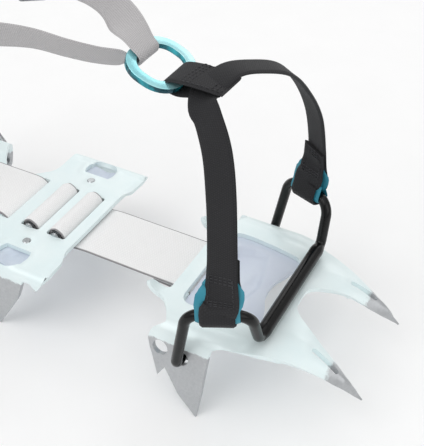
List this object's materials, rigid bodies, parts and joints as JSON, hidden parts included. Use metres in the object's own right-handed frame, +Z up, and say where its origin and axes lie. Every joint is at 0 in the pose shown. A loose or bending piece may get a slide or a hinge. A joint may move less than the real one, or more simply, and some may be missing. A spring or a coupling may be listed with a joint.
{
  "type": "crampon",
  "caption": "Semi-automatic crampon with folded alloy frames on a webbing link, wire toe bail with strap harness and ring, wire heel bail and adjustable lever.",
  "frame": {"origin": "middle of the whole crampon's length and width, on the ground under the spike tips", "axes": "+X towards the toe, +Y to the wearer's left, +Z up"},
  "size_m": [0.296, 0.1102, 0.161],
  "materials": {
    "frame_metal": "satin, pale mint anodised, bare grey at the points",
    "antiball": "moulded pale lavender sheet",
    "rivet": "brushed",
    "steel_pin": "brushed stainless",
    "bail_black": "gloss black coated steel wire",
    "bar_black": "gloss black sleeve",
    "teal_liner": "satin teal moulded liner",
    "toe_webbing": "black woven webbing",
    "ring_teal": "polished teal anodised",
    "ankle_webbing": "grey woven webbing",
    "stud": "brushed",
    "buckle": "satin",
    "keeper": "black elastic",
    "link_webbing": "white woven high-strength webbing",
    "heel_wire": "drawn stainless wire",
    "saddle": "machined",
    "lever": "black glass-filled nylon",
    "lip": "stamped stainless",
    "screw": "zinc bright",
    "wheel": "teal anodised, knurled"
  },
  "bodies": {
    "front_section": {"front_frame": "frame_metal", "front_antiball_plate": "antiball", "front_plate_rivets": "rivet", "link_pin": "steel_pin"},
    "toe_bail": {"toe_bail_wire": "bail_black", "toe_bar_sleeve": "bar_black", "strap_liner_left": "teal_liner", "strap_liner_right": "teal_liner"},
    "toe_harness": {"toe_strap_left": "toe_webbing", "toe_strap_right": "toe_webbing", "ring_tab": "toe_webbing"},
    "ring": {"strap_ring": "ring_teal"},
    "ankle_front": {"ankle_strap_front": "ankle_webbing"},
    "ankle_rear": {"ankle_strap_rear": "ankle_webbing", "ankle_strap_studs": "stud", "ankle_buckle": "buckle", "ankle_strap_tail": "ankle_webbing", "strap_keeper": "keeper"},
    "link": {"link_strap": "link_webbing"},
    "link_rear": {"link_strap_tail": "link_webbing"},
    "heel_section": {"link_strap_weave": "link_webbing", "heel_frame": "frame_metal", "heel_antiball_plate": "antiball", "heel_plate_rivets": "rivet", "strap_rods": "steel_pin"},
    "heel_bail": {"heel_bail_wire": "heel_wire"},
    "saddle": {"lever_saddle": "saddle"},
    "lever": {"heel_lever": "lever", "lever_lip": "lip"},
    "adjuster": {"adjusting_screw": "screw", "thumb_wheel": "wheel"}
  },
  "joints": [
    {"name": "toe_bail_swing", "type": "hinge", "parent": "front_section", "child": "toe_bail", "pos_m": [0.069, 0, 0.0294], "axis": [0, -1, 0], "range_deg": [0, 60]},
    {"name": "toe_harness_stay", "type": "hinge", "parent": "toe_bail", "child": "toe_harness", "pos_m": [0.069, 0, 0.0294], "axis": [0, -1, 0], "range_deg": [-60, 0]},
    {"name": "ring_swing", "type": "hinge", "parent": "toe_harness", "child": "ring", "pos_m": [0.0461, 0, 0.1416], "axis": [0, 1, 0], "range_deg": [-12, 12]},
    {"name": "ankle_strap_level", "type": "hinge", "parent": "ring", "child": "ankle_front", "pos_m": [0.0259, 0, 0.15], "axis": [0, 1, 0], "range_deg": [-12, 12]},
    {"name": "ankle_strap_let_out", "type": "slide", "parent": "ankle_front", "child": "ankle_rear", "axis": [-1, 0, 0], "range_m": [0, 0.04]},
    {"name": "link_fold_front", "type": "hinge", "parent": "front_section", "child": "link", "pos_m": [0.054, 0, 0.037], "axis": [0, -1, 0], "range_deg": [0, 60]},
    {"name": "link_fold_rear", "type": "hinge", "parent": "link", "child": "link_rear", "pos_m": [-0.007, 0, 0.0391], "axis": [0, -1, 0], "range_deg": [0, 60]},
    {"name": "heel_section_slide", "type": "slide", "parent": "link_rear", "child": "heel_section", "axis": [-1, 0, 0], "range_m": [0, 0.04]},
    {"name": "heel_bail_swing", "type": "hinge", "parent": "heel_section", "child": "heel_bail", "pos_m": [-0.098, 0, 0.03], "axis": [0, -1, 0], "range_deg": [-35, 55]},
    {"name": "heel_lever_swing", "type": "hinge", "parent": "heel_bail", "child": "saddle", "pos_m": [-0.128, 0, 0.076], "axis": [0, -1, 0], "range_deg": [0, 110]},
    {"name": "lever_height", "type": "slide", "parent": "saddle", "child": "lever", "axis": [0, 0, 1], "range_m": [-0.004, 0.004]},
    {"name": "adjusting_screw_turn", "type": "hinge", "parent": "lever", "child": "adjuster", "pos_m": [-0.1355, 0, 0.08], "axis": [0, 0, 1], "range_deg": [-1441, 1441]}
  ],
  "couplings": [
    {"joint": "toe_harness_stay", "follows": "toe_bail_swing", "ratio": -1},
    {"joint": "ankle_strap_level", "follows": "ring_swing", "ratio": -1},
    {"joint": "link_fold_rear", "follows": "link_fold_front", "ratio": 1},
    {"joint": "ankle_strap_let_out", "follows": "heel_section_slide", "ratio": 1},
    {"joint": "adjusting_screw_turn", "follows": "lever_height", "rad_per_m": 6283.2}
  ]
}
